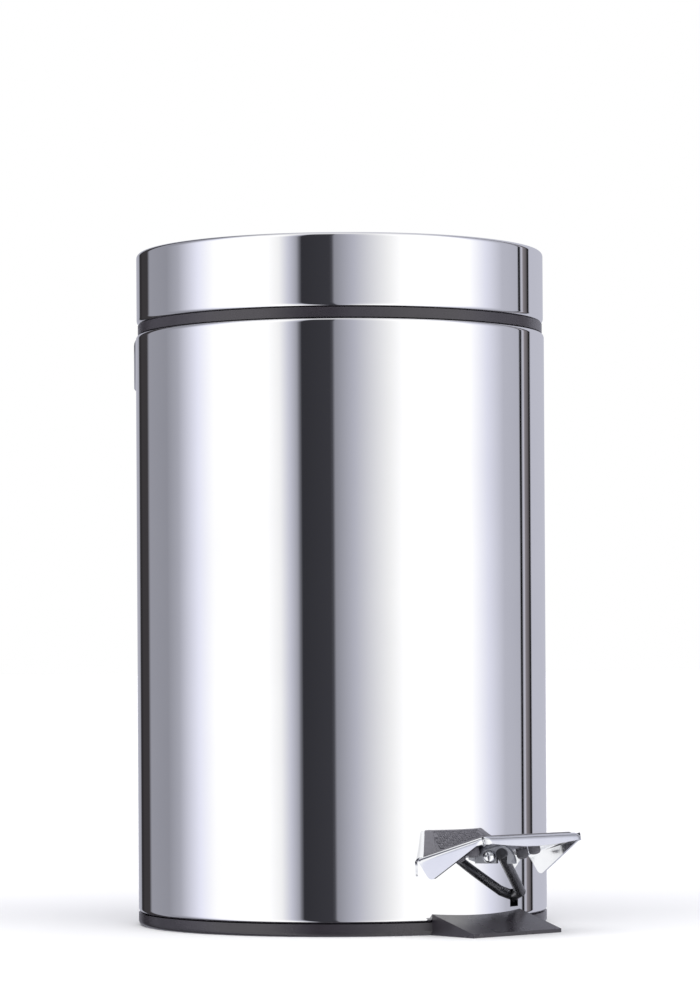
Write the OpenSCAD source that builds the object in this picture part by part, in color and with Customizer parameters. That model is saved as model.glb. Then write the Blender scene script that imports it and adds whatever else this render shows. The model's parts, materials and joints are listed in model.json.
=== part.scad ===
// Small pedal bin: polished steel can, hinged lid, pedal lever, push rod and lift-out bucket.
// Millimetres. The origin is on the can's axis at the floor, +Z is up and the pedal points to -Y.

/* [Can] */
// Outer diameter of the steel can
can_d = 168; // [150:1:200]
// Height of the can's lower edge above the floor
can_z0 = 5; // [3:0.5:8]
// Height of the can's upper edge above the floor
can_z1 = 242; // [225:1:260]
// Thickness of the sheet steel
sheet = 0.6; // [0.4:0.1:0.8]
// Radius of the rolled edges
roll_r = 2; // [1.5:0.1:2.5]

/* [Base] */
// Thickness of the base's floor
floor_t = 2.4; // [1.5:0.1:4]
// Height of the base's wall inside the can
skirt_z = 16; // [14:1:24]
// Half the width of the ramp under the pedal
ramp_half_w = 23.7; // [20:0.1:26]
// Distance from the axis to the ramp's front edge
ramp_reach = 104.3; // [100:0.1:110]
// Height of the ramp where it meets the can
ramp_z = 8.3; // [7:0.1:8.8]
// Thickness of the ramp's front edge
ramp_lip = 1.5; // [1:0.1:3]
// Diameter of each non-slip pad
foot_pad_d = 14; // [10:1:18]

/* [Collar and lid] */
// Height of the dark ring between the can and the lid
collar_h = 4; // [3:0.5:5]
// How far the ring is set back from the can's surface
collar_setback = 0.8; // [0.5:0.1:1.2]
// Outer diameter of the lid
lid_d = 167.3; // [165:0.1:167.5]
// Height of the lid
lid_h = 29.2; // [28:0.1:34]
// Radius of the lid's top edge
lid_edge_r = 1.8; // [1.4:0.1:5]
// How far the lid opens, in degrees
lid_open = 75; // [60:1:75]

/* [Lid hinge] */
// Distance from the can's axis to the hinge pin
hinge_y = 94; // [93:0.5:95]
// Height of the hinge pin
hinge_z = 236; // [235:0.5:237]
// Diameter of the hinge, crank and lever pins
pin_d = 4; // [3:0.5:4]
// Length of the crank that the push rod lifts
crank_r = 16; // [14:0.5:16]
// Half the width between the lid arm's cheeks
cheek_x = 7; // [6.5:0.1:7.2]
// Thickness of the lid arm and of the hinge bracket
plate_t = 1.6; // [1.2:0.1:1.8]

/* [Rear cover] */
// Half the width of the cover at the hinge
cover_half_w = 28.5; // [26:0.5:30]
// Distance from the can's axis to the back of the cover
cover_y = 105.5; // [105:0.1:107]
// Height of the cover's lower tip
cover_z0 = 199; // [195:1:203]
// Thickness of the cover
cover_t = 1.2; // [1:0.1:1.5]

/* [Push rod] */
// Thickness of the push rod's strip
rod_t = 3; // [2:0.5:4]
// Width of the push rod's strip
rod_w = 5; // [4:0.5:5]
// Distance from the can's axis to the strip's inner edge
rod_y = 76.8; // [76.5:0.1:77]

/* [Pedal lever] */
// Diameter of the lever's round bar
bar_d = 4.2; // [3.5:0.1:4.5]
// Distance from the can's axis to the lever's pivot pin
pivot_y = 70; // [64:1:70]
// Height of the lever's pivot pin
pivot_z = 13.2; // [12.8:0.1:13.6]
// Sideways place of the pivot and of the slot in the can
slot_x = 20; // [18:0.5:20]
// Radial clearance of a pin that turns in a bore
fit = 0.05; // [0.02:0.01:0.1]

/* [Pedal] */
// Tilt of the pedal, upwards and outwards, in degrees
pedal_tilt = 15.8; // [15:0.1:17]
// Distance from the can's axis to the pedal's inner edge
pedal_y = 79.7; // [79.5:0.1:80.2]
// Height of the pedal's inner edge
pedal_z = 30.6; // [30.4:0.1:31]
// Length of the pedal
pedal_len = 35.3; // [34:0.1:37]
// Half the pedal's width at its inner end
pedal_half_in = 30.6; // [29:0.1:32]
// Half the pedal's width at its outer end
pedal_half_out = 27.1; // [25:0.1:29]
// Depth of the side flanges at their deep corner
flange_h = 10; // [8:0.1:11]
// Depth of the lip along the outer end
lip_h = 4.8; // [3.5:0.1:5]
// Thickness of the pedal's sheet
pedal_t = 1; // [0.8:0.1:1.2]
// Thickness of the rubber pad
rubber_t = 1.2; // [1.2:0.1:2]

/* [Bucket] */
// Outer radius of the bucket at its bottom
bucket_r0 = 62; // [58:0.5:63]
// Outer radius of the bucket below its rim
bucket_r1 = 70; // [68:0.5:70]
// Height of the bucket's bottom above the floor
bucket_z0 = 44; // [42:1:60]
// Thickness of the bucket's wall
bucket_t = 1.4; // [1:0.1:2]
// Radius of the bail's half circle
bail_r = 64.5; // [62:0.5:65]
// Diameter of the bail's wire
wire_d = 3; // [2.5:0.1:3]

/* [Hidden] */

$fn = 64;
round_fn = 180;
eps = 0.01;
over = 1;
// The balls at a bar's bends are this much larger than the bar
blend = 0.06;
can_r = can_d / 2;
can_in = can_r - sheet;
lid_r = lid_d / 2;
lid_z0 = can_z1 + collar_h;
lid_z1 = lid_z0 + lid_h;

// Non-slip pads under the base
foot_pad_t = 1.4;
foot_pad_ring_r = 66;

// Collar: a flange under the lid, a seat for the bucket's rim and a skirt inside the can
collar_r = can_r - collar_setback;
seat_r0 = 71;
seat_r1 = 73.4;
seat_z = can_z1 + 1;
seat_t = 2.5;
skirt_r0 = 79.6;
skirt_r1 = 81.6;
skirt_h = 12;

// Liner inside the lid, and the small gap under its rubber bumpers
liner_r0 = 80.4;
liner_r1 = lid_r - sheet - fit;
liner_z0 = lid_z0 + 3;
liner_z1 = lid_z1 - lid_edge_r;
liner_t = 1.5;
bumper_gap = 0.3;
bumper_r = 79.2;
bumper_t = 2;
bumper_a = 8;

// Rear opening, which the lid arm and the push rod's head pass through
opening_half_w = 10.5;
opening_z0 = 213;
notch_y = 73.5;

// Crank: it swings evenly below and above the level of the hinge pin
crank_a = lid_open / 2;
crank_y = hinge_y - crank_r * cos(crank_a);
crank_z = hinge_z - crank_r * sin(crank_a);
eye_r = 3.6;
cheek_y0 = 77.5;
cheek_y1 = 81.4;
arm_flange_half_w = 16;
arm_flange_t = 1.6;
pin_head_r = 3.2;
pin_head_t = 1.2;

// Hinge bracket
bracket_r0 = can_r + 0.05;
bracket_r1 = bracket_r0 + 1.2;
bracket_half_w = 19.5;
bracket_z0 = 210;
bracket_z1 = 240;
ear_x = 11.4;
ear_r = 6;
rivet_a = 10.6;
rivet_z = [213.5, 223.5];
rivet_d = 3;
rivet_head_r = 2.5;
rivet_head_t = 1.1;
post_x = 16.6;
post_z = 232;
post_d = 5;
screw_d = 2.6;
screw_head_d = 5.6;
screw_head_t = 1.6;

// Rear cover
cover_top_r = cover_y - hinge_y;
cover_bend_z = 228;
cover_tip_half_w = 18;
cover_corner_r = 6;
cover_slot = 8.4;

// Push rod
foot_gap = 0.6;
foot_pocket = 12;
foot_d = 9;
foot_t = 3;
bar_r = bar_d / 2;
lever_top_z = pivot_z + bar_r;
foot_z = lever_top_z + foot_gap;
head_gap = 0.35;
head_lag = 0.3;
head_slot_h = pin_d + 2 * (head_gap + head_lag);
head_y0 = 73.8;
head_y1 = 85.5;
head_half_h = 5.4;
guide_z = [60, 190];
guide_h = 10;
guide_gap = 0.4;
guide_y = 74.5;

// Pedal lever: the bar's corner points, from the pedal to the push rod
bar_tip = [-9.8, -105.3, 32.6];
bar_knee = [slot_x - 2.7, -87.7, 15.7];
bar_entry = [slot_x, -80, pivot_z];
bar_inner = [slot_x, -57, pivot_z];
bar_bend = [0, -24, pivot_z];
bar_end = [0, 78, pivot_z];
bar_path = [bar_tip, bar_knee, bar_entry, bar_inner, bar_bend, bar_end];
hub_d = 9;
hub_w = 8;
lug_t = 3;
lug_gap = 0.4;
lug_d = 12;
stop_y = 56;
stop_d = 12;
stop_gap = 0.3;

// Slot for the lever in the can's wall and in the base's wall
slot_left = 3.2;
slot_right = 2.4;
slot_z0 = 9.4;
slot_z1 = 16.5;

// Pedal
pedal_corner_r = 4.5;
can_gap = 0.45;
clear_h = 60;
deep_y = 5.9;
deep_r = 3;
flange_end_h = 3;
notch_w = 1.8;
notch_drop = 0.6;
bolt_y = 9;
bolt_d = 3;
bolt_head_d = 7;
bolt_head_t = 0.4;
bolt_tail = 2.6;
nut_d = 6.2;
nut_t = 2.2;

// Clamp: a foot plate under the pedal, and a half disc on the bar's end with a small screw beside it
clamp_t = 1.2;
clamp_x0 = -13.5;
clamp_x1 = 5;
clamp_y0 = -29.5;
clamp_y1 = -6;
disc_xy = [-9.1, -101.6];
disc_turn = -57;
disc_r = 8;
disc_t = 3;
disc_z = 28.4;
socket_x = 2.72;
socket_z = 31.2;
screw_x = -2.2;
screw_z = 31.1;
screw_r = 1;
dome_r = 2.5;
dome_rise = 0.6;
dome_bore = 1.2;
screw_cap_d = 4;
screw_cap_t = 1;

// Pad
pad_inset = 3.4;
plug_d = 3.6;
plug_head_d = 4.8;
plug_h = 3.4;
plug_xy = [[17, 9.3], [16.5, 17]];
field_side = 6;
field_y0 = -8.5;
field_y1 = -29.4;
field_drop = 0.4;
rib_rise = 0.3;
rib_w = 1.2;
ribs = 11;

// Bucket
rim_r = 73.1;
rim_t = 1.6;
bail_z = 236;
grip_d = 4.8;
grip_span = 36;
bail_tip_x = 70.2;

// Points along an arc of radius r about c, from angle a0 to angle a1
function arc(c, r, a0, a1, steps = 8) =
    [for (i = [0 : steps]) let(a = a0 + (a1 - a0) * i / steps) c + r * [cos(a), sin(a)]];

// A quarter of a thin ring, which rolls a sheet edge inwards
module roll(r, t, up) {
    intersection() {
        difference() {
            circle(r);
            circle(r - t);
        }
        translate([0, up ? 0 : -r]) square(r);
    }
}

// A straight round bar between two points
module bar(a, b, r) {
    v = b - a;
    flat = norm([v[0], v[1]]);
    translate(a) rotate([0, atan2(flat, v[2]), atan2(v[1], v[0])]) cylinder(r = r, h = norm(v));
}

// A ball that joins two bars of radius r
module joint_ball(p, r) {
    translate(p) sphere(r + blend);
}

// A cylinder along X, centred on x = 0, at the given y and z
module cross_pin(y, z, r, length) {
    translate([0, y, z]) rotate([0, 90, 0]) cylinder(r = r, h = length, center = true);
}

// An outline drawn in Y and Z and extruded along X, centred on x = 0
module side_extrude(width) {
    rotate([90, 0, 90]) translate([0, 0, -width / 2]) linear_extrude(width) children();
}

// A cylinder that points outwards from the can's axis
module radial(angle, z, r0, r1, r) {
    rotate([0, 0, angle]) translate([0, r0, z]) rotate([-90, 0, 0]) cylinder(r = r, h = r1 - r0);
}

module at_rivets() {
    for (z = rivet_z, side = [-1, 1]) {
        radial(side * rivet_a, z, $r0, $r1, $r);
    }
}

module lever_slot(z1) {
    translate([slot_x - slot_left, -can_r - over, slot_z0])
        cube([slot_left + slot_right, 12, z1 - slot_z0]);
}

module body_shell() color("silver") difference() {
    rotate_extrude($fn = round_fn) {
        translate([can_in, can_z0 + roll_r]) square([sheet, can_z1 - can_z0 - 2 * roll_r]);
        translate([can_r - roll_r, can_z1 - roll_r]) roll(roll_r, sheet, true);
        translate([can_r - roll_r, can_z0 + roll_r]) roll(roll_r, sheet, false);
    }
    lever_slot(slot_z1);
    translate([-opening_half_w, can_r - 12, opening_z0]) cube([2 * opening_half_w, 14, can_z1]);
    at_rivets($r0 = can_r - 3, $r1 = can_r + over, $r = rivet_d / 2 + fit);
}

module base() color("dimgray") difference() {
    union() {
        rotate_extrude($fn = round_fn) {
            square([can_r - roll_r, floor_t]);
            translate([skirt_r0, 0]) square([can_r - roll_r - skirt_r0, can_z0]);
            translate([skirt_r0, roll_r]) square([can_r - skirt_r0, can_z0 - roll_r]);
            translate([can_r - roll_r, roll_r]) circle(roll_r);
        }
        difference() {
            cylinder(r = skirt_r1, h = skirt_z, $fn = round_fn);
            translate([0, 0, floor_t]) cylinder(r = skirt_r0, h = skirt_z, $fn = round_fn);
        }
        ramp();
        pivot_lugs();
    }
    translate([slot_x, 0, 0]) cross_pin(-pivot_y, pivot_z, pin_d / 2 + fit, 30);
    lever_slot(skirt_z + over);
    translate([-foot_pocket / 2, head_y0, 8]) cube([foot_pocket, can_in - head_y0 - 1, skirt_z]);
    at_pads() translate([0, 0, -over]) cylinder(d = foot_pad_d + 2 * fit, h = foot_pad_t + over);
}

module ramp() {
    difference() {
        side_extrude(2 * ramp_half_w) polygon([
            [-can_r + 8, 0], [-ramp_reach, 0], [-ramp_reach, ramp_lip],
            [-can_r + 3.4, ramp_z], [-can_r + 8, ramp_z]
        ]);
        translate([0, 0, can_z0]) cylinder(r = can_r + fit, h = ramp_z, $fn = round_fn);
    }
}

// Two bored lugs stand on the base's floor and carry the lever's pin
module pivot_lugs() {
    for (side = [-1, 1]) {
        translate([slot_x + side * (hub_w / 2 + lug_gap + lug_t / 2), -pivot_y, 0])
            side_extrude(lug_t) {
                translate([0, pivot_z]) circle(d = lug_d);
                translate([-lug_d / 2, floor_t - eps]) square([lug_d, pivot_z - floor_t]);
            }
    }
}

module at_pads() {
    for (a = [45, 135, 225, 315]) rotate(a) translate([foot_pad_ring_r, 0, 0]) children();
}

module base_pads() color("black") at_pads() cylinder(d = foot_pad_d, h = foot_pad_t);

module top_collar() color("dimgray") difference() {
    rotate_extrude($fn = round_fn) {
        translate([seat_r1, can_z1]) square([collar_r - seat_r1, collar_h]);
        translate([seat_r0, seat_z - seat_t]) square([seat_r1 - seat_r0 + over, seat_t]);
        translate([seat_r1, seat_z - seat_t]) square([skirt_r1 - seat_r1, seat_t]);
        translate([skirt_r0, can_z1 - skirt_h]) square([skirt_r1 - skirt_r0, skirt_h]);
    }
    translate([-opening_half_w, notch_y, can_z1 - skirt_h - over])
        cube([2 * opening_half_w, 14, skirt_h + collar_h + 2 * over]);
}

// Half section of the lid's sheet: inset 0 is its outside, inset sheet is its inside
module lid_section(inset) {
    r = lid_r - inset;
    edge = lid_edge_r - inset;
    translate([0, lid_z0 + roll_r]) square([r, lid_h - roll_r - lid_edge_r]);
    translate([0, lid_z0 + inset]) square([lid_r - roll_r, lid_h - 2 * inset - edge]);
    translate([0, lid_z1 - lid_edge_r - over]) square([lid_r - lid_edge_r, edge + over]);
    translate([lid_r - lid_edge_r, lid_z1 - lid_edge_r]) circle(edge);
    translate([lid_r - roll_r, lid_z0 + roll_r]) circle(roll_r - inset);
}

module lid_shell() color("silver") rotate_extrude($fn = round_fn) difference() {
    intersection() {
        lid_section(0);
        square([lid_r, lid_z1]);
    }
    lid_section(sheet);
    square([lid_r - roll_r, lid_z0 + roll_r]);
}

module lid_liner() color("gray") difference() {
    rotate_extrude($fn = round_fn)
        translate([liner_r0, liner_z0]) square([liner_r1 - liner_r0, liner_z1 - liner_t - liner_z0]);
    translate([-arm_flange_half_w - over, 70, lid_z0])
        cube([2 * (arm_flange_half_w + over), 20, liner_z1 - lid_z0]);
}

// The lid's ceiling: a disc that lies on the liner's ring
module lid_panel() color("gray") translate([0, 0, liner_z1 - liner_t])
    cylinder(r = liner_r1, h = liner_t, $fn = round_fn);

module lid_bumpers() color("black") {
    for (a = [-135, -90, -45, 15, 165]) {
        rotate(a - bumper_a / 2) translate([0, 0, lid_z0 + bumper_gap])
            rotate_extrude(angle = bumper_a, $fn = round_fn)
            translate([bumper_r, 0]) square([bumper_t, liner_z0 - lid_z0 - bumper_gap]);
    }
}

// One cheek of the lid arm, seen from the side
module cheek_outline() {
    polygon([
        [cheek_y0, liner_z1 - 2], [cheek_y1, liner_z1 - 2], [cheek_y1, lid_z0 + 6],
        [cheek_y1 - 0.7, lid_z0 + 5], [cheek_y1 - 0.7, lid_z0 - 0.6], [can_r + 2.5, lid_z0 - 1],
        [hinge_y + 2.6, hinge_z + 4.3], [hinge_y - 2.6, hinge_z - 4.3],
        [crank_y + 2.2, crank_z - 2.8], [crank_y - 2.2, crank_z + 2.8],
        [cheek_y0 + 2.5, hinge_z + 2], [cheek_y0, lid_z0 + 1]
    ]);
    translate([hinge_y, hinge_z]) circle(5);
    translate([crank_y, crank_z]) circle(eye_r);
}

module lid_arm() color("gainsboro") difference() {
    union() {
        for (side = [-1, 1]) {
            translate([side * (cheek_x + plate_t / 2), 0, 0]) side_extrude(plate_t) cheek_outline();
        }
        intersection() {
            difference() {
                cylinder(r = liner_r1, h = liner_z1 - liner_t, $fn = round_fn);
                translate([0, 0, -over])
                    cylinder(r = liner_r1 - arm_flange_t, h = lid_z1, $fn = round_fn);
            }
            translate([-arm_flange_half_w, 70, lid_z0 + 6]) cube([2 * arm_flange_half_w, 20, lid_h]);
        }
    }
    cross_pin(hinge_y, hinge_z, pin_d / 2 + fit, 40);
    cross_pin(crank_y, crank_z, pin_d / 2 + fit, 40);
}

module crank_pin() color("silver") {
    cross_pin(crank_y, crank_z, pin_d / 2, 2 * (cheek_x + plate_t + over));
    for (side = [-1, 1]) {
        translate([side * (cheek_x + plate_t + 0.6), 0, 0]) cross_pin(crank_y, crank_z, pin_head_r, 1);
    }
}

module ear_outline() {
    polygon(concat(
        [[can_r - 1, hinge_z - 10], [can_r - 1, bracket_z1]],
        arc([hinge_y, hinge_z], ear_r, 110, -62, 12)
    ));
}

module hinge_bracket() color("gainsboro") difference() {
    union() {
        intersection() {
            cylinder(r = bracket_r1, h = bracket_z1, $fn = round_fn);
            translate([-bracket_half_w, 70, bracket_z0]) cube([2 * bracket_half_w, 20, bracket_z1]);
        }
        for (side = [-1, 1]) {
            translate([side * (ear_x + plate_t / 2), 0, 0]) side_extrude(plate_t) ear_outline();
            translate([side * post_x, can_r - 3, post_z]) rotate([-90, 0, 0])
                cylinder(d = post_d, h = cover_y - cover_t - 0.1 - can_r + 3);
        }
    }
    translate([0, 0, bracket_z0 - over]) cylinder(r = bracket_r0, h = 50, $fn = round_fn);
    translate([-opening_half_w, 70, opening_z0]) cube([2 * opening_half_w, 20, 50]);
    at_rivets($r0 = can_r - 3, $r1 = can_r + 3, $r = rivet_d / 2 + fit);
    cross_pin(hinge_y, hinge_z, pin_d / 2 + fit, 40);
    for (side = [-1, 1]) {
        translate([side * post_x, cover_y - 14, post_z]) rotate([-90, 0, 0])
            cylinder(d = screw_d + 2 * fit, h = 20);
    }
}

module hinge_rivets() color("silver") {
    at_rivets($r0 = can_in - 0.8, $r1 = bracket_r1 + 0.4, $r = rivet_d / 2);
    at_rivets($r0 = bracket_r1, $r1 = bracket_r1 + rivet_head_t, $r = rivet_head_r);
    at_rivets($r0 = can_in - 0.9, $r1 = can_in - 0.05, $r = 2.3);
}

module hinge_pin() color("silver") {
    half = ear_x + plate_t + fit;
    cross_pin(hinge_y, hinge_z, pin_d / 2, 2 * half + over);
    for (side = [-1, 1]) {
        translate([side * (half + pin_head_t / 2), 0, 0])
            cross_pin(hinge_y, hinge_z, pin_head_r, pin_head_t);
    }
}

// The cover's outer body for inset 0, and the hollow inside it for inset cover_t
module cover_body(inset) {
    top_r = cover_top_r - inset;
    back = cover_y - inset;
    half = cover_half_w - inset;
    tip_half = cover_tip_half_w - inset;
    corner = [half + inset - cover_corner_r, cover_y - cover_corner_r];
    corner_r = cover_corner_r - inset;
    tip_z = cover_z0 + 1.6 * inset;
    intersection() {
        side_extrude(3 * cover_half_w) polygon(concat(
            [[can_r - 8, tip_z], [can_r - 8, hinge_z + top_r]],
            arc([hinge_y, hinge_z], top_r, 90, 0),
            [[back, cover_bend_z], [can_r - 2, tip_z]]
        ));
        translate([0, 0, cover_z0 - over]) linear_extrude(60) polygon(concat(
            [[-half, can_r - 10], [half, can_r - 10]],
            arc(corner, corner_r, 0, 90),
            arc([-corner[0], corner[1]], corner_r, 90, 180)
        ));
        translate([0, can_r + 40, 0]) rotate([90, 0, 0]) linear_extrude(80) polygon([
            [-tip_half, cover_z0 - 2], [tip_half, cover_z0 - 2], [half, cover_bend_z],
            [half, hinge_z + 20], [-half, hinge_z + 20], [-half, cover_bend_z]
        ]);
    }
}

module rear_cover() color("whitesmoke") difference() {
    cover_body(0);
    cover_body(cover_t);
    translate([0, 0, cover_z0 - over]) cylinder(r = can_r + fit, h = 80, $fn = round_fn);
    translate([-opening_half_w, notch_y, hinge_z + 3])
        cube([2 * opening_half_w, hinge_y + cover_slot - notch_y, 20]);
    for (side = [-1, 1]) {
        translate([side * post_x, cover_y - 5, post_z]) rotate([-90, 0, 0]) cylinder(d = 3.2, h = 10);
    }
}

module cover_screws() color("silver") {
    for (side = [-1, 1]) {
        translate([side * post_x, 0, post_z]) rotate([-90, 0, 0]) difference() {
            union() {
                translate([0, 0, cover_y - 10]) cylinder(d = screw_d, h = 10 + 2 * fit);
                translate([0, 0, cover_y + fit]) cylinder(d = screw_head_d, h = screw_head_t);
            }
            for (a = [0, 90]) {
                rotate(a) translate([-1.6, -0.35, cover_y + 0.9]) cube([3.2, 0.7, 2]);
            }
        }
    }
}

module push_rod() color("gainsboro") difference() {
    union() {
        translate([-rod_t / 2, rod_y, foot_z]) cube([rod_t, rod_w, crank_z - foot_z]);
        translate([-5, rod_y - 3, foot_z]) cube([10, rod_w + 3, 2]);
        translate([-rod_t / 2, head_y0, crank_z - head_half_h])
            cube([rod_t, head_y1 - head_y0, 2 * head_half_h]);
    }
    translate([-rod_t, hinge_y - crank_r - pin_d / 2 - head_gap, crank_z - head_slot_h / 2])
        cube([2 * rod_t, crank_y - hinge_y + crank_r + pin_d + 2 * head_gap, head_slot_h]);
}

module rod_guides() color("black") {
    for (z = guide_z) {
        difference() {
            intersection() {
                translate([0, 0, z]) cylinder(r = can_in - fit, h = guide_h, $fn = round_fn);
                translate([-7, guide_y, z]) cube([14, 12, guide_h]);
            }
            translate([-rod_t / 2 - guide_gap, rod_y - guide_gap, z - over])
                cube([rod_t + 2 * guide_gap, rod_w + 2 * guide_gap, guide_h + 2 * over]);
        }
    }
}

module pedal_lever() color("dimgray") difference() {
    union() {
        for (i = [1 : len(bar_path) - 1]) bar(bar_path[i - 1], bar_path[i], bar_r);
        for (i = [1 : len(bar_path) - 2]) joint_ball(bar_path[i], bar_r);
        translate([slot_x, 0, 0]) cross_pin(-pivot_y, pivot_z, hub_d / 2, hub_w);
        translate([bar_end[0], bar_end[1] - 1, lever_top_z - foot_t]) cylinder(d = foot_d, h = foot_t);
    }
    translate([slot_x, 0, 0]) cross_pin(-pivot_y, pivot_z, pin_d / 2 + fit, hub_w + 2);
}

module lever_pin() color("silver") translate([slot_x, 0, 0]) {
    half = hub_w / 2 + lug_gap + lug_t + fit;
    cross_pin(-pivot_y, pivot_z, pin_d / 2, 2 * half + over);
    for (side = [-1, 1]) {
        translate([side * (half + pin_head_t / 2), 0, 0])
            cross_pin(-pivot_y, pivot_z, pin_head_r, pin_head_t);
    }
}

module lever_stop() color("black") {
    translate([0, stop_y, floor_t]) cylinder(d = stop_d, h = pivot_z - bar_r - stop_gap - floor_t);
}

// The pedal's own frame: its inner edge lies on y = 0, it runs out along -Y and its top is z = 0
module on_pedal() {
    translate([0, -pedal_y, pedal_z]) rotate([-pedal_tilt, 0, 0]) children();
}

module pedal_outline(inset) {
    taper = atan((pedal_half_in - pedal_half_out) / pedal_len);
    half_in = pedal_half_in - inset / cos(taper);
    r = pedal_corner_r - inset;
    cy = -pedal_len + pedal_corner_r;
    cx = pedal_half_in + cy * tan(taper) - pedal_corner_r / cos(taper);
    polygon(concat(
        [[-half_in, 0], [half_in, 0]],
        arc([cx, cy], r, -taper, -90),
        arc([-cx, cy], r, -90, taper - 180)
    ));
}

// The flanges' depth, seen from the side: deep near the inner end and a low lip at the outer end
module pedal_side() {
    polygon(concat(
        [[0, over], [0, -1.5]],
        arc([-deep_y, deep_r - flange_h], deep_r, -22, -99),
        [[-pedal_len + 3, -flange_end_h], [-pedal_len + 3, -lip_h], [-pedal_len - over, -lip_h],
         [-pedal_len - over, over]]
    ));
}

module plug_holes(d) {
    for (p = plug_xy, side = [-1, 1]) {
        translate([side * p[0], -p[1], 0]) cylinder(d = d, h = 12, center = true);
    }
}

module pedal_plate() color("silver") difference() {
    on_pedal() difference() {
        intersection() {
            translate([0, 0, -15]) linear_extrude(15) pedal_outline(0);
            side_extrude(2 * pedal_half_in) pedal_side();
        }
        translate([0, 0, -20 - pedal_t]) linear_extrude(20) pedal_outline(pedal_t);
        translate([-pedal_half_in + pedal_t, -eps, -20 - pedal_t])
            cube([2 * (pedal_half_in - pedal_t), over, 20]);
        for (side = [-1, 1]) {
            translate([side * (pedal_half_out - pedal_corner_r), -pedal_len + pedal_corner_r, 0])
                rotate(side * 45 - 90) translate([0, -notch_w / 2, -10 - pedal_t - notch_drop])
                cube([10, notch_w, 10]);
        }
        plug_holes(plug_d + 2 * fit);
        translate([0, -bolt_y, 0]) cylinder(d = bolt_d + 2 * fit, h = 10, center = true);
    }
    cylinder(r = can_r + can_gap, h = clear_h, $fn = round_fn);
}

module pedal_pad() color("black") difference() {
    on_pedal() difference() {
        union() {
            difference() {
                linear_extrude(rubber_t) pedal_outline(pad_inset);
                translate([0, 0, rubber_t - field_drop]) linear_extrude(over) pad_field();
            }
            intersection() {
                for (i = [0 : ribs - 1]) {
                    translate([(i - (ribs - 1) / 2) * 3 * rib_w - rib_w / 2, -pedal_len, 0.1])
                        cube([rib_w, pedal_len, rubber_t - field_drop + rib_rise - 0.1]);
                }
                linear_extrude(rubber_t) pad_field();
            }
            for (p = plug_xy, side = [-1, 1]) {
                translate([side * p[0], -p[1], -pedal_t - fit - 0.1])
                    cylinder(d = plug_d, h = pedal_t + fit + 0.2);
                translate([side * p[0], -p[1], -pedal_t - fit - plug_h])
                    cylinder(d = plug_head_d, h = plug_h);
            }
        }
        translate([0, -bolt_y, 0])
            cylinder(d = bolt_head_d + 0.4, h = 2 * (bolt_head_t + 2 * fit), center = true);
    }
    cylinder(r = can_r + can_gap + over, h = clear_h, $fn = round_fn);
}

// The sunk field in the middle of the pad
module pad_field() {
    half_in = pedal_half_in - pad_inset - field_side;
    half_out = pedal_half_out - pad_inset - field_side;
    polygon([[-half_in, field_y0], [half_in, field_y0], [half_out, field_y1], [-half_out, field_y1]]);
}

// The frame of the clamp's half disc: it stands across the bar's end, with its screw along Y
module on_disc() {
    translate([disc_xy[0], disc_xy[1], 0]) rotate(disc_turn) children();
}

module pedal_clamp() color("gray") difference() {
    union() {
        on_pedal() translate([clamp_x0, clamp_y0, -pedal_t - fit - clamp_t])
            cube([clamp_x1 - clamp_x0, clamp_y1 - clamp_y0, clamp_t]);
        intersection() {
            on_disc() translate([0, disc_t / 2, disc_z]) rotate([90, 0, 0]) intersection() {
                cylinder(r = disc_r, h = disc_t);
                translate([-disc_r, 0, 0]) cube([2 * disc_r, disc_r, disc_t]);
            }
            on_pedal() translate([-30, -45, -20 - pedal_t - fit]) cube([60, 60, 20]);
        }
    }
    bar(bar_tip, bar_knee, bar_r + fit);
    on_disc() translate([socket_x - bar_r - fit, -disc_t, disc_z - over])
        cube([2 * (bar_r + fit), 2 * disc_t, socket_z - disc_z + over]);
    on_disc() translate([screw_x, disc_t, screw_z]) rotate([90, 0, 0])
        cylinder(r = screw_r + fit, h = 2 * disc_t);
    on_pedal() translate([0, -bolt_y, 0]) cylinder(d = bolt_d + 2 * fit, h = 20, center = true);
}

module pedal_bolt() color("silver") on_pedal() translate([0, -bolt_y, 0]) {
    translate([0, 0, fit]) cylinder(d = bolt_head_d, h = bolt_head_t);
    translate([0, 0, -pedal_t - clamp_t - bolt_tail])
        cylinder(d = bolt_d, h = pedal_t + clamp_t + bolt_tail + 2 * fit);
}

module pedal_nut() color("silver") on_pedal() {
    translate([0, -bolt_y, -pedal_t - clamp_t - 2 * fit - nut_t]) difference() {
        cylinder(d = nut_d, h = nut_t, $fn = 6);
        translate([0, 0, -over]) cylinder(d = bolt_d + 2 * fit, h = nut_t + 2 * over);
    }
}

module clamp_screw() color("silver") on_disc() translate([screw_x, 0, screw_z]) rotate([90, 0, 0]) {
    translate([0, 0, -disc_t / 2 - fit - screw_cap_t]) cylinder(d = screw_cap_d, h = screw_cap_t);
    translate([0, 0, -(disc_t + screw_cap_t) / 2]) cylinder(r = screw_r, h = disc_t + 1.5);
}

// A domed nut on the front of the half disc
module clamp_nut() color("silver") on_disc() {
    translate([screw_x, -disc_t / 2 - fit, screw_z]) rotate([90, 0, 0]) difference() {
        rotate_extrude() intersection() {
            translate([0, dome_rise]) circle(dome_r);
            square([dome_r, 2 * dome_r]);
        }
        translate([0, 0, -over]) cylinder(r = screw_r + fit, h = over + dome_bore);
    }
}

module inner_bucket() color("darkgray") difference() {
    rotate_extrude($fn = round_fn) polygon([
        [0, bucket_z0], [bucket_r0, bucket_z0], [bucket_r1, seat_z], [rim_r, seat_z],
        [rim_r, seat_z + rim_t], [bucket_r1 - bucket_t, seat_z + rim_t],
        [bucket_r0 - bucket_t, bucket_z0 + bucket_t], [0, bucket_z0 + bucket_t]
    ]);
    cross_pin(0, bail_z, wire_d / 2 + fit, 2 * can_r);
}

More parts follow.
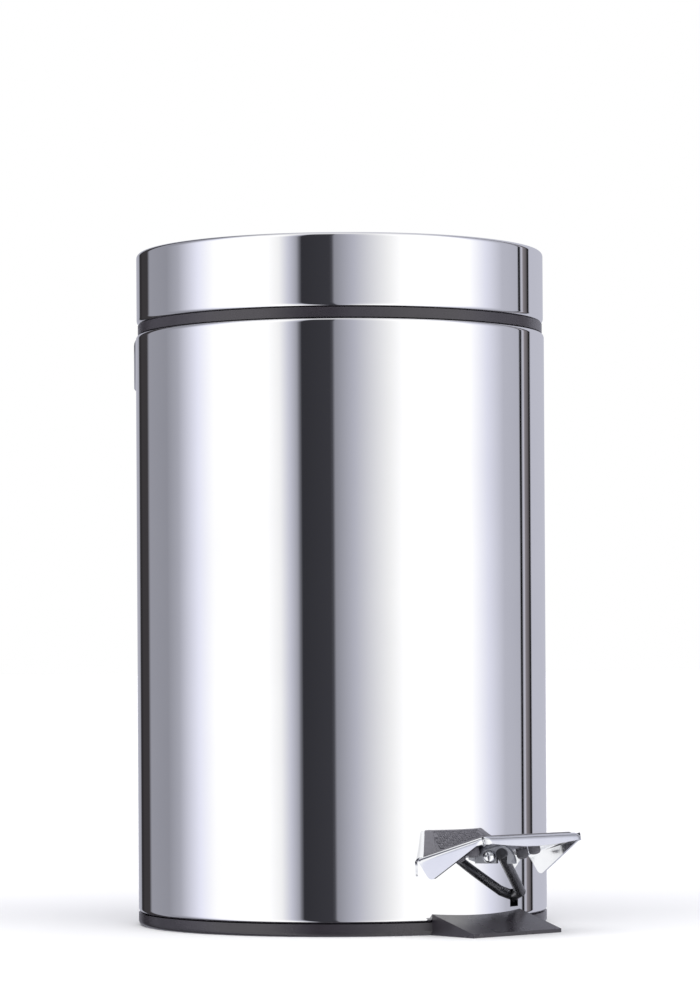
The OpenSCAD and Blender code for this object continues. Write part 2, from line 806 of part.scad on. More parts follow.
module bucket_handle() color("silver") translate([0, 0, bail_z]) {
    rotate(180) rotate_extrude(angle = 180, $fn = round_fn) translate([bail_r, 0]) circle(d = wire_d);
    for (side = [-1, 1]) {
        joint_ball([side * bail_r, 0, 0], wire_d / 2);
        translate([side * bail_r, 0, 0]) rotate([0, side * 90, 0])
            cylinder(d = wire_d, h = bail_tip_x - bail_r);
    }
}

module handle_grip() color("dimgray") translate([0, 0, bail_z]) rotate(-90 - grip_span / 2)
    rotate_extrude(angle = grip_span, $fn = round_fn) translate([bail_r, 0]) difference() {
        circle(d = grip_d);
        circle(d = wire_d + 2 * fit);
    }

body_shell();
base();
base_pads();
top_collar();
lid_shell();
lid_liner();
lid_panel();
lid_bumpers();
lid_arm();
crank_pin();
hinge_bracket();
hinge_rivets();
hinge_pin();
rear_cover();
cover_screws();
push_rod();
rod_guides();
pedal_lever();
lever_pin();
lever_stop();
pedal_plate();
pedal_pad();
pedal_clamp();
pedal_bolt();
pedal_nut();
clamp_screw();
clamp_nut();
inner_bucket();
bucket_handle();
handle_grip();
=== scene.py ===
import json
import math

import bmesh
import bpy
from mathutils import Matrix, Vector


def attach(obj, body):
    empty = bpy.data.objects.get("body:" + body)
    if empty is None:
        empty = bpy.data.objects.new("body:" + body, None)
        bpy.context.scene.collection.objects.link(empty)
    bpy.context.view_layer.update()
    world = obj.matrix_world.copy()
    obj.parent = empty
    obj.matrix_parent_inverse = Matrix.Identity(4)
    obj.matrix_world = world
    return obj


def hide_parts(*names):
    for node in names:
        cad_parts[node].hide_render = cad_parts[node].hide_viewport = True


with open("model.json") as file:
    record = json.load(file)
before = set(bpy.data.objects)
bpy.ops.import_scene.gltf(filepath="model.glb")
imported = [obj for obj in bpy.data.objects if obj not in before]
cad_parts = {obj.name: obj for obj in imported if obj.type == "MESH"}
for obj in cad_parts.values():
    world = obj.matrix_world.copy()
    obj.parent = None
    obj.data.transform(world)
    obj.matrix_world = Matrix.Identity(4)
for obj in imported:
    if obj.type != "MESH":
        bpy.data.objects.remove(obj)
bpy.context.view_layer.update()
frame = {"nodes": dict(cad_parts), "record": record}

scene = bpy.context.scene
NODES = frame["nodes"]


# ---------------------------------------------------------------- materials

def add_node(tree, kind, inputs, settings):
    """Adds a node to a tree; each input is a value or the socket that feeds it."""
    made = tree.nodes.new(kind)
    for key, value in settings.items():
        setattr(made, key, value)
    for key, value in (inputs or {}).items():
        if isinstance(value, bpy.types.NodeSocket):
            tree.links.new(value, made.inputs[key])
        else:
            made.inputs[key].default_value = value
    return made


class Shader:
    """One material under construction: adds nodes and joins them up."""

    def __init__(self, name):
        self.mat = bpy.data.materials.new(name)
        self.mat.use_nodes = True
        self.tree = self.mat.node_tree
        self.bsdf = self.tree.nodes["Principled BSDF"]
        self.place = self.node("ShaderNodeTexCoord").outputs["Object"]

    def node(self, kind, inputs=None, **settings):
        return add_node(self.tree, kind, inputs, settings)

    def stretched(self, scale):
        """The object's coordinates, scaled along each axis."""
        made = self.node("ShaderNodeMapping", {"Vector": self.place, "Scale": scale})
        return made.outputs["Vector"]

    def noise(self, scale, detail, roughness, vector=None):
        made = self.node("ShaderNodeTexNoise", {
            "Vector": vector or self.place, "Scale": scale, "Detail": detail,
            "Roughness": roughness})
        return made.outputs["Fac"]

    def cells(self, scale):
        """A different shade in each cell, as on spangled zinc."""
        made = self.node("ShaderNodeTexVoronoi", {"Vector": self.place, "Scale": scale})
        return made.outputs["Color"]

    def span(self, value, low, high, start=0.3, stop=0.7):
        """Maps a value from start..stop to low..high."""
        made = self.node("ShaderNodeMapRange", {
            "Value": value, "From Min": start, "From Max": stop, "To Min": low, "To Max": high})
        return made.outputs["Result"]

    def tints(self, value, colours, start=0.3, stop=0.7):
        """A colour ramp from evenly spaced colours."""
        made = self.node("ShaderNodeValToRGB", {"Fac": value})
        ramp = made.color_ramp
        steps = len(colours) - 1
        while len(ramp.elements) < len(colours):
            ramp.elements.new(0.5)
        for i, colour in enumerate(colours):
            ramp.elements[i].position = start + (stop - start) * i / steps
            ramp.elements[i].color = (*colour, 1)
        return made.outputs["Color"]

    def bump(self, height, distance, strength=1.0, over=None):
        inputs = {"Height": height, "Distance": distance, "Strength": strength}
        if over is not None:
            inputs["Normal"] = over
        return self.node("ShaderNodeBump", inputs).outputs["Normal"]

    def finish(self, **values):
        """Sets the shader's own sockets, by value or by link."""
        for key, value in values.items():
            socket = self.bsdf.inputs[key.replace("_", " ")]
            if isinstance(value, bpy.types.NodeSocket):
                self.tree.links.new(value, socket)
            else:
                socket.default_value = value
        return self.mat


def polished_steel():
    s = Shader("polished_steel")
    smear = s.noise(14, 4, 0.6)
    lines = s.noise(1, 4, 0.6, s.stretched((40, 40, 2600)))
    waves = s.noise(1, 1.5, 0.4, s.stretched((26, 26, 5)))
    rough = s.span(smear, 0.022, 0.045)
    fine = s.bump(lines, 0.0000012)
    return s.finish(
        Metallic=1.0, Base_Color=s.tints(smear, [(0.90, 0.90, 0.915), (0.935, 0.935, 0.945)]),
        Roughness=rough, Normal=s.bump(waves, 0.00005, 1.0, fine))


def chrome_plate():
    s = Shader("chrome_plate")
    smear = s.noise(60, 4, 0.6)
    peel = s.noise(900, 2, 0.5)
    return s.finish(
        Metallic=1.0, Base_Color=s.tints(smear, [(0.84, 0.85, 0.87), (0.91, 0.92, 0.93)]),
        Roughness=s.span(smear, 0.07, 0.15), Normal=s.bump(peel, 0.000004))


def zinc_steel():
    s = Shader("zinc_steel")
    flakes = s.cells(420)
    cloud = s.noise(90, 4, 0.6)
    return s.finish(
        Metallic=1.0,
        Base_Color=s.tints(flakes, [(0.38, 0.39, 0.43), (0.52, 0.53, 0.56)], 0.1, 0.9),
        Roughness=s.span(cloud, 0.28, 0.46), Normal=s.bump(flakes, 0.00001, 0.5))


def dark_steel():
    s = Shader("dark_steel")
    drawn = s.noise(1, 3, 0.6, s.stretched((1500, 140, 140)))
    cloud = s.noise(130, 4, 0.6)
    return s.finish(
        Metallic=0.75, Base_Color=s.tints(cloud, [(0.085, 0.085, 0.094), (0.185, 0.185, 0.198)]),
        Roughness=s.span(cloud, 0.2, 0.36), Normal=s.bump(drawn, 0.00001, 0.5))


def moulded(name, dark, light, rough, gloss=0.5):
    """Injection moulded plastic: cloudy tone, fine spark-eroded grain and uneven gloss."""
    s = Shader(name)
    cloud = s.noise(35, 4, 0.6)
    skin = s.noise(2600, 2, 0.55)
    return s.finish(
        Base_Color=s.tints(cloud, [dark, light]), Roughness=s.span(cloud, rough[0], rough[1]),
        Specular_IOR_Level=gloss, Normal=s.bump(skin, 0.000012, 0.8))


def black_rubber():
    s = Shader("black_rubber")
    dust = s.noise(260, 5, 0.65)
    skin = s.noise(3200, 2, 0.6)
    return s.finish(
        Base_Color=s.tints(dust, [(0.120, 0.117, 0.134), (0.190, 0.186, 0.208)]),
        Roughness=s.span(dust, 0.5, 0.72), Specular_IOR_Level=0.4,
        Normal=s.bump(skin, 0.00002, 0.7))


# The record's material slots
SLOTS = {
    "polished_steel": polished_steel(),
    "chrome_plate": chrome_plate(),
    "zinc_steel": zinc_steel(),
    "dark_steel": dark_steel(),
    "dark_plastic": moulded("dark_plastic", (0.023, 0.020, 0.026), (0.037, 0.032, 0.041),
                            (0.2, 0.32), gloss=0.68),
    "grey_plastic": moulded("grey_plastic", (0.27, 0.27, 0.28), (0.33, 0.33, 0.34), (0.4, 0.52)),
    "bucket_plastic": moulded("bucket_plastic", (0.024, 0.025, 0.027), (0.036, 0.037, 0.040),
                              (0.36, 0.5)),
    "black_rubber": black_rubber(),
}


def paint(obj, material):
    """Gives an object one material and nothing else."""
    obj.data.materials.clear()
    obj.data.materials.append(material)
    for slot in obj.material_slots:
        slot.material = material


SLOT_OF = {part["node"]: part["material_slot"] for part in frame["record"]["subparts"]}
for node_name, cad_node in NODES.items():
    for cad_slot in cad_node.material_slots:
        cad_slot.material = SLOTS[SLOT_OF[node_name]]


# ---------------------------------------------------------------- mesh tools

def bake(piece, modifiers):
    """Applies modifiers, given as (kind, settings), to a piece's mesh."""
    for kind, settings in modifiers:
        modifier = piece.modifiers.new(kind.lower(), kind)
        for key, value in settings.items():
            setattr(modifier, key, value)
    graph = bpy.context.evaluated_depsgraph_get()
    shaped = bpy.data.meshes.new_from_object(piece.evaluated_get(graph))
    piece.modifiers.clear()
    piece.data = shaped
    shaped.name = piece.name
    return shaped


def new_piece(name, bm, body, node, modifiers=(), smooth=35):
    """Turns a mesh under construction into a finished piece that stands for a CAD node."""
    mesh = bpy.data.meshes.new(name)
    bmesh.ops.recalc_face_normals(bm, faces=bm.faces)
    bm.to_mesh(mesh)
    bm.free()
    piece = bpy.data.objects.new(name, mesh)
    scene.collection.objects.link(piece)
    shaped = bake(piece, modifiers)
    shaped.shade_smooth()
    shaped.set_sharp_from_angle(angle=math.radians(smooth))
    bake(piece, [("WEIGHTED_NORMAL", {"keep_sharp": True, "weight": 50})])
    paint(piece, SLOTS[SLOT_OF[node]])
    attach(piece, body)
    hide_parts(node)


# How softening reads a CAD mesh: points closer than this are one, faces within this angle are one
# flat face, and an edge sharper than this is rounded
SAME_POINT, FLAT_WITHIN, ROUND_OVER = 0.00001, math.radians(0.5), math.radians(38)


def soften(node, body, width):
    """A copy of a CAD node whose sharp edges are rounded, as a moulded or pressed edge is."""
    bm = bmesh.new()
    bm.from_mesh(NODES[node].data)
    bmesh.ops.remove_doubles(bm, verts=bm.verts, dist=SAME_POINT)
    bmesh.ops.dissolve_limit(bm, angle_limit=FLAT_WITHIN, verts=bm.verts, edges=bm.edges)
    bevel = ("BEVEL", {"width": width, "segments": 3, "limit_method": "ANGLE",
                       "angle_limit": ROUND_OVER, "use_clamp_overlap": True})
    new_piece(node + "_softened", bm, body, node, [bevel])


# ---------------------------------------------------------------- the pedal

# The pedal's own frame and sizes, as in the CAD: x across, y outwards, z up from its top face
PEDAL_TILT = math.radians(15.8)
PEDAL_EDGE = Vector((0, -0.0797, 0.0306))
HALF_IN, HALF_OUT, LENGTH = 0.0306, 0.0271, 0.0353
PLATE_T = 0.001
CORNER_R = 0.0045
BEND_R = 0.0025
# The radius of the round cut that keeps the pedal, and with more room its pad, clear of the can
CAN_CLEAR_R, PAD_CLEAR_R = 0.08445, 0.08545

# The side flange, from the inner end outwards: its first depth, the drop of its steep end, its
# rounded deep corner between two distances, the depth behind that corner and the depth at its end
FLANGE_START, FLANGE_DROP = 0.0015, 0.0066
DEEP_FROM, DEEP_TO = 0.0031, 0.0064
DEEP_CENTRE, DEEP_R, DEEPEST = 0.0059, 0.003, 0.010
FLANGE_AFTER, FLANGE_END = 0.00996, 0.003
# The lip along the outer end: its depth in the middle, and how much it rises this far to each side
LIP_MIDDLE, LIP_RISE, LIP_SPAN = 0.0049, 0.0017, 0.024
# The notch between flange and lip: its place round the corner, in degrees, and the depth left there
NOTCH_FROM, NOTCH_TO, NOTCH_DEPTH = 39, 52, 0.0003


def on_pedal(x, y, z):
    """A point of the pedal's frame in the part's frame."""
    across = y * math.cos(PEDAL_TILT) - z * math.sin(PEDAL_TILT)
    rise = y * math.sin(PEDAL_TILT) + z * math.cos(PEDAL_TILT)
    return PEDAL_EDGE + Vector((x, -across, rise))


def can_side(x, radius):
    """How far out the can's round wall pushes the pedal's inner edge at x."""
    reach = math.sqrt(radius * radius - x * x) + PEDAL_EDGE.y
    return max(0.0, reach / math.cos(PEDAL_TILT))


def half_width(y):
    """Half the pedal's width, which narrows outwards."""
    return HALF_IN + (HALF_OUT - HALF_IN) * y / LENGTH


def flange_depth(y):
    """The side flange: steep at the inner end, deepest near it, then shallow outwards."""
    if y < DEEP_FROM:
        return FLANGE_START + (y / DEEP_FROM) * FLANGE_DROP
    if y < DEEP_TO:
        return DEEPEST - DEEP_R + math.sqrt(max(0.0, DEEP_R ** 2 - (y - DEEP_CENTRE) ** 2))
    way_out = (y - DEEP_TO) / (LENGTH - CORNER_R - DEEP_TO)
    return FLANGE_AFTER + (FLANGE_END - FLANGE_AFTER) * way_out


def lip_depth(x):
    """The outer lip hangs lowest in the middle."""
    return LIP_MIDDLE - LIP_RISE * (x / LIP_SPAN) ** 2


def pedal_stations():
    """Points round the sheet's outside, with the outward direction and the depth at each."""
    side_end = LENGTH - CORNER_R
    ys = [DEEP_FROM * i / 4 for i in range(4)]
    ys += [DEEP_FROM + (DEEP_TO - DEEP_FROM) * i / 8 for i in range(8)]
    ys += [DEEP_TO + (side_end - DEEP_TO) * i / 10 for i in range(10)]
    right = [(half_width(y), y, 0.0, flange_depth(y)) for y in ys]
    centre_x = half_width(side_end) - CORNER_R
    for degrees in (0, 13, 26, NOTCH_FROM - 1, NOTCH_FROM, NOTCH_TO - 1, NOTCH_TO, 64, 77, 90):
        turn = math.radians(degrees)
        if degrees < NOTCH_FROM:
            depth = FLANGE_END
        elif degrees < NOTCH_TO:
            depth = NOTCH_DEPTH
        else:
            depth = lip_depth(centre_x)
        x, y = centre_x + CORNER_R * math.cos(turn), side_end + CORNER_R * math.sin(turn)
        right.append((x, y, turn, depth))
    xs = [centre_x * (1 - i / 8) for i in range(1, 8)]
    right += [(x, LENGTH, math.pi / 2, lip_depth(x)) for x in xs]
    left = [(-x, y, math.pi - turn, depth) for x, y, turn, depth in reversed(right)]
    return right + [(0, LENGTH, math.pi / 2, lip_depth(0))] + left


def make_pedal_plate():
    """The pressed plate: each station is a row that runs round the bend and down the flange."""
    bm = bmesh.new()
    rings = 6
    rows = []
    for x, y, turn, depth in pedal_stations():
        last = math.pi / 2 if depth > BEND_R else math.acos(1 - depth / BEND_R)
        row = []
        for i in range(rings + 1):
            bend = last * i / rings
            inset = BEND_R * (1 - math.sin(bend))
            drop = BEND_R * (1 - math.cos(bend))
            point = (x - math.cos(turn) * inset, y - math.sin(turn) * inset, -drop)
            row.append(bm.verts.new(on_pedal(*point)))
        row.append(bm.verts.new(on_pedal(x, y, -max(depth, drop + SAME_POINT))))
        rows.append(row)
    for row, following in zip(rows, rows[1:]):
        for i in range(rings + 1):
            bm.faces.new((row[i], following[i], following[i + 1], row[i + 1]))
    edge_steps = 24
    edge_half = HALF_IN - BEND_R
    edge = []
    for i in range(1, edge_steps):
        x = -edge_half + 2 * edge_half * i / edge_steps
        edge.append(bm.verts.new(on_pedal(x, can_side(x, CAN_CLEAR_R), 0)))
    bm.faces.new([row[0] for row in rows] + edge)
    solid = ("SOLIDIFY", {"thickness": PLATE_T, "offset": -1.0, "use_even_offset": True})
    edges = ("BEVEL", {"width": PLATE_T / 5, "segments": 2, "limit_method": "ANGLE",
                       "angle_limit": math.radians(50)})
    new_piece("pedal_sheet", bm, "pedal", "pedal_plate", [solid, edges], 40)


# The pad: how far in it lies, its outer corners, its border and the woven field sunk into it
PAD_INSET, PAD_CORNER_R = 0.0034, 0.0012
FIELD_SIDE, FIELD_END, FIELD_NEAR = 0.0094, 0.0059, 0.0026
PAD_UNDER, PAD_TOP, FIELD_FLOOR = 0.00005, 0.0008, 0.00047
# The pad's softened edge, in two steps down and in, and the slope into the field
SOFT_STEP, SOFT_EDGE, FIELD_SLOPE = 0.00012, 0.0004, 0.0003
# The weave: the size of a cell, where the first row lies, and its bars as shares of a cell
WEAVE, WEAVE_START = 0.0029, 0.0015
BAR_LONG, BAR_SHORT, CELL_ROOM = 0.45, 0.19, 0.55
BAR_SLOPE, BAR_SUNK = 0.00022, 0.0001
# The plugs under the plate that hold the pad: their places, and their outline as radius and height
PLUGS = ((0.017, 0.0093), (0.0165, 0.017))
PLUG_OUTLINE = ((0.0018, 0.0001), (0.0018, -0.00105), (0.0024, -0.0011), (0.0024, -0.0032),
                (0.0019, -0.0041), (0.0011, -0.0044))
PLUG_SIDES = 20


def pad_loop(side, end, near, z):
    """A closed loop round the pad, inset by side, end and near from the sheet's own edges."""
    out_y = LENGTH - end
    loop = [(half_width(near) - side, near, z)]
    centre_x, centre_y = half_width(out_y) - side - PAD_CORNER_R, out_y - PAD_CORNER_R
    for i in range(6):
        turn = math.pi / 2 * i / 5
        loop.append((centre_x + PAD_CORNER_R * math.cos(turn),
                     centre_y + PAD_CORNER_R * math.sin(turn), z))
    loop += [(-x, y, z) for x, y, z in reversed(loop)]
    steps = 20
    half = loop[0][0]
    for i in range(1, steps):
        x = -half + 2 * half * i / steps
        loop.append((x, can_side(x, PAD_CLEAR_R) + near, z))
    return loop


def add_bar(bm, x, y, half_x, half_y):
    """A small raised bar of the weave, with sloping sides."""
    corners = ((-1, -1), (1, -1), (1, 1), (-1, 1))
    top_x, top_y = half_x - BAR_SLOPE, half_y - BAR_SLOPE
    base = [bm.verts.new(on_pedal(x + sx * half_x, y + sy * half_y, FIELD_FLOOR - BAR_SUNK))
            for sx, sy in corners]
    top = [bm.verts.new(on_pedal(x + sx * top_x, y + sy * top_y, PAD_TOP)) for sx, sy in corners]
    for i in range(4):
        j = (i + 1) % 4
        bm.faces.new((base[i], base[j], top[j], top[i]))
    bm.faces.new(top)
    bm.faces.new(list(reversed(base)))


def add_weave(bm):
    """A basket weave of short bars, two to a cell, that change direction from cell to cell."""
    across = int(2 * HALF_IN / WEAVE) // 2
    long, short = BAR_LONG * WEAVE, BAR_SHORT * WEAVE
    for i in range(-across, across + 1):
        for j in range(int(LENGTH / WEAVE) + 1):
            x, y = i * WEAVE, j * WEAVE + WEAVE_START
            side_end = half_width(y) - FIELD_SIDE - CELL_ROOM * WEAVE
            near_end = can_side(x, PAD_CLEAR_R) + FIELD_NEAR + CELL_ROOM * WEAVE
            if abs(x) > side_end or y < near_end or y > LENGTH - FIELD_END - CELL_ROOM * WEAVE:
                continue
            for shift in (-WEAVE / 4, WEAVE / 4):
                if (i + j) % 2:
                    add_bar(bm, x, y + shift, long, short)
                else:
                    add_bar(bm, x + shift, y, short, long)


def add_plug(bm, x, y):
    """A mushroom-headed plug: a ring of points for each radius and height of its outline."""
    angles = [2 * math.pi * i / PLUG_SIDES for i in range(PLUG_SIDES)]
    rings = [[bm.verts.new(on_pedal(x + radius * math.cos(angle), y + radius * math.sin(angle), z))
              for angle in angles] for radius, z in PLUG_OUTLINE]
    for upper, lower in zip(rings, rings[1:]):
        for i in range(PLUG_SIDES):
            j = (i + 1) % PLUG_SIDES
            bm.faces.new((upper[i], upper[j], lower[j], lower[i]))
    bm.faces.new(rings[0])
    bm.faces.new(list(reversed(rings[-1])))


def make_pedal_pad():
    """The rubber pad: loops from its underside over the border to the sunk, woven field."""
    bm = bmesh.new()
    shape = [
        (PAD_INSET, PAD_INSET, 0.0, PAD_UNDER), (PAD_INSET, PAD_INSET, 0.0, PAD_TOP - SOFT_EDGE),
        (PAD_INSET + SOFT_STEP, PAD_INSET + SOFT_STEP, SOFT_STEP, PAD_TOP - SOFT_STEP),
        (PAD_INSET + SOFT_EDGE, PAD_INSET + SOFT_EDGE, SOFT_EDGE, PAD_TOP),
        (FIELD_SIDE - FIELD_SLOPE, FIELD_END - FIELD_SLOPE, FIELD_NEAR - FIELD_SLOPE, PAD_TOP),
        (FIELD_SIDE, FIELD_END, FIELD_NEAR, FIELD_FLOOR),
    ]
    loops = [[bm.verts.new(on_pedal(*point)) for point in pad_loop(*values)] for values in shape]
    count = len(loops[0])
    for lower, upper in zip(loops, loops[1:]):
        for i in range(count):
            j = (i + 1) % count
            bm.faces.new((lower[i], lower[j], upper[j], upper[i]))
    bm.faces.new(loops[-1])
    bm.faces.new(list(reversed(loops[0])))
    add_weave(bm)
    for x, y in PLUGS:
        for side in (-1, 1):
            add_plug(bm, side * x, y)
    new_piece("pedal_tread", bm, "pedal", "pedal_pad", (), 30)


make_pedal_plate()
make_pedal_pad()


# ---------------------------------------------------------------- the turned steel shells

# Both half sections, as in the CAD: the sheet, its rolled edges and the lid's rounded top edge
SHEET, ROLL_R = 0.0006, 0.002
LID_R, LID_BOTTOM, LID_TOP, LID_EDGE_R = 0.08365, 0.246, 0.2752, 0.0018
CAN_R, CAN_BOTTOM, CAN_TOP = 0.084, 0.005, 0.242
SHELL_SIDES = 256
# The boxes that cut the lever's slot and the rear opening from the can's wall: low and high corner
LEVER_SLOT = (0.0168, -0.0850, 0.0094), (0.0224, -0.0730, 0.0165)
REAR_OPENING = (-0.0105, 0.0720, 0.2130), (0.0105, 0.0860, 0.2550)


def arc(radius, centre_r, centre_z, start, stop, steps=8):
    """Points (r, z) along an arc of the half section, between two angles in degrees."""
    points = []
    for i in range(steps + 1):
        angle = math.radians(start + (stop - start) * i / steps)
        points.append((centre_r + radius * math.cos(angle), centre_z + radius * math.sin(angle)))
    return points


def turned(section, capped):
    """Turns a half section about the axis: capped with a disc at each end, or a closed loop."""
    bm = bmesh.new()
    angles = [2 * math.pi * i / SHELL_SIDES for i in range(SHELL_SIDES)]
    rings = [[bm.verts.new((r * math.cos(angle), r * math.sin(angle), z)) for angle in angles]
             for r, z in section]
    following = rings[1:] if capped else rings[1:] + rings[:1]
    for upper, lower in zip(rings, following):
        for i in range(SHELL_SIDES):
            j = (i + 1) % SHELL_SIDES
            bm.faces.new((upper[i], upper[j], lower[j], lower[i]))
    if capped:
        bm.faces.new(rings[0])
        bm.faces.new(rings[-1])
    bmesh.ops.recalc_face_normals(bm, faces=bm.faces)
    return bm


def make_lid_shell():
    """The pressed lid: a flat top, a rounded top edge and a rim rolled inwards."""
    edge = (LID_R - LID_EDGE_R, LID_TOP - LID_EDGE_R)
    rim = (LID_R - ROLL_R, LID_BOTTOM + ROLL_R)
    section = [(LID_R / 2, LID_TOP)] + arc(LID_EDGE_R, *edge, 90, 0) + arc(ROLL_R, *rim, 0, -90)
    section += arc(ROLL_R - SHEET, *rim, -90, 0) + arc(LID_EDGE_R - SHEET, *edge, 0, 90)
    section.append((LID_R / 2, LID_TOP - SHEET))
    new_piece("lid_pressed", turned(section, True), "lid", "lid_shell")


def box_cutter(low, high):
    """A box between two corners, to cut an opening with."""
    mesh = bpy.data.meshes.new("cutter")
    bm = bmesh.new()
    bmesh.ops.create_cube(bm, size=1)
    for vert in bm.verts:
        vert.co = [a + (b - a) * (c + 0.5) for a, b, c in zip(low, high, vert.co)]
    bm.to_mesh(mesh)
    bm.free()
    cutter = bpy.data.objects.new("cutter", mesh)
    scene.collection.objects.link(cutter)
    return cutter


def make_can_shell():
    """The can's wall, rolled inwards at both edges, with the lever's slot and the rear opening."""
    top = (CAN_R - ROLL_R, CAN_TOP - ROLL_R)
    bottom = (CAN_R - ROLL_R, CAN_BOTTOM + ROLL_R)
    section = arc(ROLL_R, *top, 90, 0) + arc(ROLL_R, *bottom, 0, -90)
    section += arc(ROLL_R - SHEET, *bottom, -90, 0) + arc(ROLL_R - SHEET, *top, 0, 90)
    cutters = [box_cutter(*LEVER_SLOT), box_cutter(*REAR_OPENING)]
    cuts = [("BOOLEAN", {"object": cutter, "operation": "DIFFERENCE", "solver": "EXACT"})
            for cutter in cutters]
    new_piece("can_rolled", turned(section, False), "can", "body_shell", cuts)
    for cutter in cutters:
        bpy.data.meshes.remove(cutter.data)


make_lid_shell()
make_can_shell()


# ---------------------------------------------------------------- softened CAD parts

# Each with its body and the width of its rounded edges
SOFTENED = (
    ("base", "can", 0.0005), ("top_collar", "can", 0.0003), ("rear_cover", "can", 0.0004),
    ("hinge_bracket", "can", 0.0002), ("lid_arm", "lid", 0.0002), ("pedal_clamp", "pedal", 0.0003),
    ("push_rod", "rod", 0.0003),
)
for softened in SOFTENED:
    soften(*softened)


# ---------------------------------------------------------------- the studio

# The photo's viewpoint: its direction round the can, its distance and height, and a slight roll
VIEW_AZIMUTH = math.radians(-41)
DISTANCE = 1.533
EYE = 0.1068
ROLL = 0.0055
towards_camera = Vector((math.sin(VIEW_AZIMUTH), -math.cos(VIEW_AZIMUTH), 0))

cam_data = bpy.data.cameras.new("camera")
cam_data.lens = 136.4
cam_data.sensor_width = 36
cam_data.shift_x = 0.0086
cam_data.shift_y = 0.1762
cam_data.dof.use_dof = False
camera = bpy.data.objects.new("camera", cam_data)
camera.location = towards_camera * DISTANCE + Vector((0, 0, EYE))
camera.rotation_euler = (math.pi / 2, ROLL, VIEW_AZIMUTH)
scene.collection.objects.link(camera)
scene.camera = camera
scene.view_settings.view_transform = "Standard"
scene.view_settings.look = "None"


def srgb(value):
    """A display value from 0 to 1 as linear light."""
    return value / 12.92 if value <= 0.04045 else ((value + 0.055) / 1.055) ** 2.4


# The studio round the can, as the photo's steel reflects it: angle to the right of the camera in
# degrees, brightness and a slight tint, from one softbox to the next. The rows were picked from
# what scratch scripts measured in the photo, then adjusted by hand; report.md says how.
STUDIO = [
    (-180, 0.73, "cool"), (-158.5, 0.64, "cool"), (-155.8, 0.13, "warm"), (-149, 0.22, "warm"),
    (-138.8, 0.22, "warm"), (-135.8, 0.58, "cool"), (-114, 0.56, "cool"), (-103, 0.65, "cool"),
    (-86, 0.91, "cool"), (-75, 1.00, "plain"), (-46, 1.05, "plain"), (-34, 0.945, "plain"),
    (-28.5, 0.78, "cool"), (-24, 0.62, "cool"), (-21.5, 0.19, "navy"), (-4.4, 0.22, "navy"),
    (-3.0, 0.54, "cool"), (8, 0.70, "cool"), (28, 0.94, "plain"), (36, 1.02, "plain"),
    (75, 1.03, "plain"), (90, 0.87, "cool"), (104, 0.71, "cool"), (120.0, 0.68, "cool"),
    (120.7, 0.03, "warm"), (123.3, 0.03, "warm"), (124.2, 0.92, "cool"), (126.0, 0.50, "warm"),
    (130.9, 0.35, "warm"), (131.6, 0.10, "warm"), (134.0, 0.10, "warm"), (135.0, 0.73, "cool"),
]
# The share of the light that the steel gives back
STEEL_REFLECTS = 0.92
# The ceiling's light, and how far up a ray must point to begin to see it and to see only it
CEILING = (0.78, 0.78, 0.80, 1)
CEILING_FROM, CEILING_FULL = 0.8, 0.97
TINTS = {
    "plain": (1, 1, 1), "cool": (0.97, 0.98, 1.12), "warm": (1.05, 0.97, 1.04),
    "navy": (0.97, 0.97, 1.16),
}


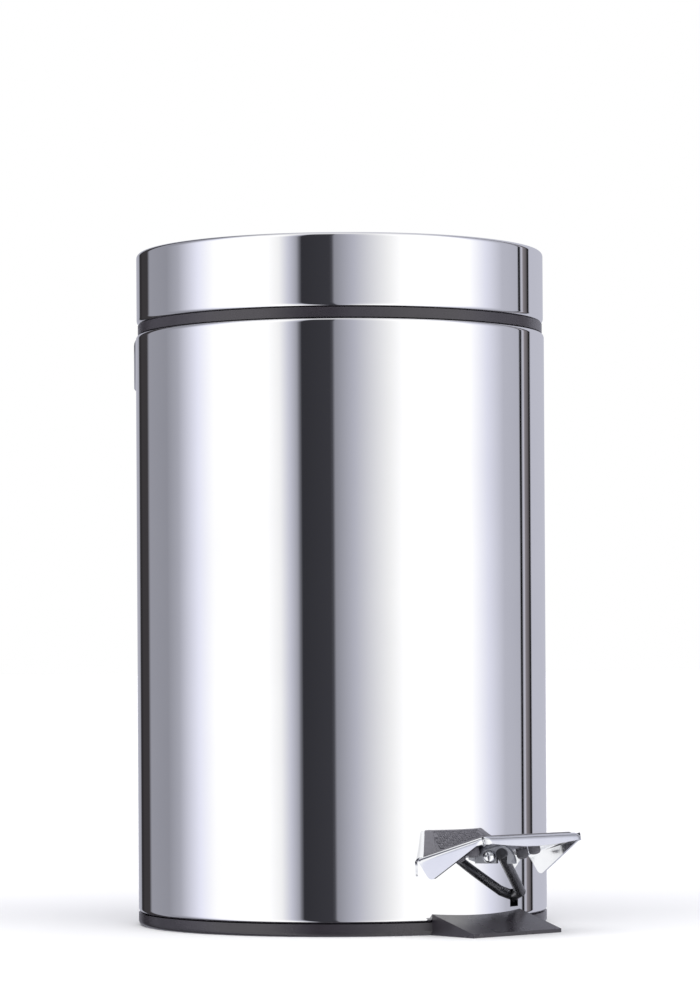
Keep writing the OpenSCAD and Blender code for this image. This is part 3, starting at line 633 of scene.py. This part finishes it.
def make_world():
    """The light round the can: the studio's softboxes by direction, and plain white as backdrop."""
    world = bpy.data.worlds.new("studio")
    world.use_nodes = True
    tree = world.node_tree
    tree.nodes.clear()

    def node(kind, inputs=None, **settings):
        return add_node(tree, kind, inputs, settings)

    def maths(operation, a, b=0.0):
        return node("ShaderNodeMath", {0: a, 1: b}, operation=operation).outputs[0]

    # direction -> front (towards the camera) and side (to its right)
    where = node("ShaderNodeTexCoord").outputs["Generated"]
    to_view = node("ShaderNodeVectorRotate", {"Vector": where, "Angle": -VIEW_AZIMUTH},
                   rotation_type="Z_AXIS")
    split = node("ShaderNodeSeparateXYZ", {"Vector": to_view.outputs["Vector"]})
    side = split.outputs["X"]
    front = maths("MULTIPLY", split.outputs["Y"], -1.0)
    angle = maths("ARCTAN2", side, front)
    turn = maths("ADD", maths("DIVIDE", angle, 2 * math.pi), 0.5)
    ramp_node = node("ShaderNodeValToRGB", {"Fac": turn})
    ramp = ramp_node.color_ramp
    while len(ramp.elements) < len(STUDIO):
        ramp.elements.new(0.5)
    for element, (degrees, value, tint) in zip(ramp.elements, STUDIO):
        element.position = degrees / 360 + 0.5
        light = srgb(value) / STEEL_REFLECTS
        element.color = (*(light * t for t in TINTS[tint]), 1)
    # straight above hangs one plain ceiling, a little darker
    overhead = node("ShaderNodeMapRange", {
        "Value": split.outputs["Z"], "From Min": CEILING_FROM, "From Max": CEILING_FULL,
        "To Min": 0.0, "To Max": 1.0}).outputs["Result"]
    sky = node("ShaderNodeMix", {"Factor": overhead, "A": ramp_node.outputs["Color"], "B": CEILING},
               data_type="RGBA")
    seen = node("ShaderNodeBackground", {"Color": sky.outputs["Result"], "Strength": 1.0})
    plain = node("ShaderNodeBackground", {"Color": (1, 1, 1, 1), "Strength": 1.0})
    mix = node("ShaderNodeMixShader", {
        0: node("ShaderNodeLightPath").outputs["Is Camera Ray"],
        1: seen.outputs[0], 2: plain.outputs[0]})
    out = node("ShaderNodeOutputWorld")
    tree.links.new(mix.outputs[0], out.inputs["Surface"])
    scene.world = world


make_world()

sun_data = bpy.data.lights.new("overhead", "SUN")
sun_data.energy = 2.1
sun_data.angle = math.radians(75)
sun = bpy.data.objects.new("overhead", sun_data)
sun.rotation_euler = (math.radians(10), math.radians(-12), 0)
sun.visible_glossy = False
scene.collection.objects.link(sun)


def make_floor():
    """A plain pale floor, out of sight of the steel."""
    size = 30.0
    bm = bmesh.new()
    bmesh.ops.create_grid(bm, x_segments=8, y_segments=8, size=size)
    mesh = bpy.data.meshes.new("floor")
    bm.to_mesh(mesh)
    bm.free()
    floor = bpy.data.objects.new("floor", mesh)
    scene.collection.objects.link(floor)
    s = Shader("pale_floor")
    cloud = s.noise(3, 3, 0.5)
    paint(floor, s.finish(
        Base_Color=s.tints(cloud, [(0.84, 0.84, 0.845), (0.87, 0.87, 0.875)]),
        Roughness=s.span(cloud, 0.75, 0.85), Specular_IOR_Level=0.1))
    floor.visible_glossy = False


make_floor()
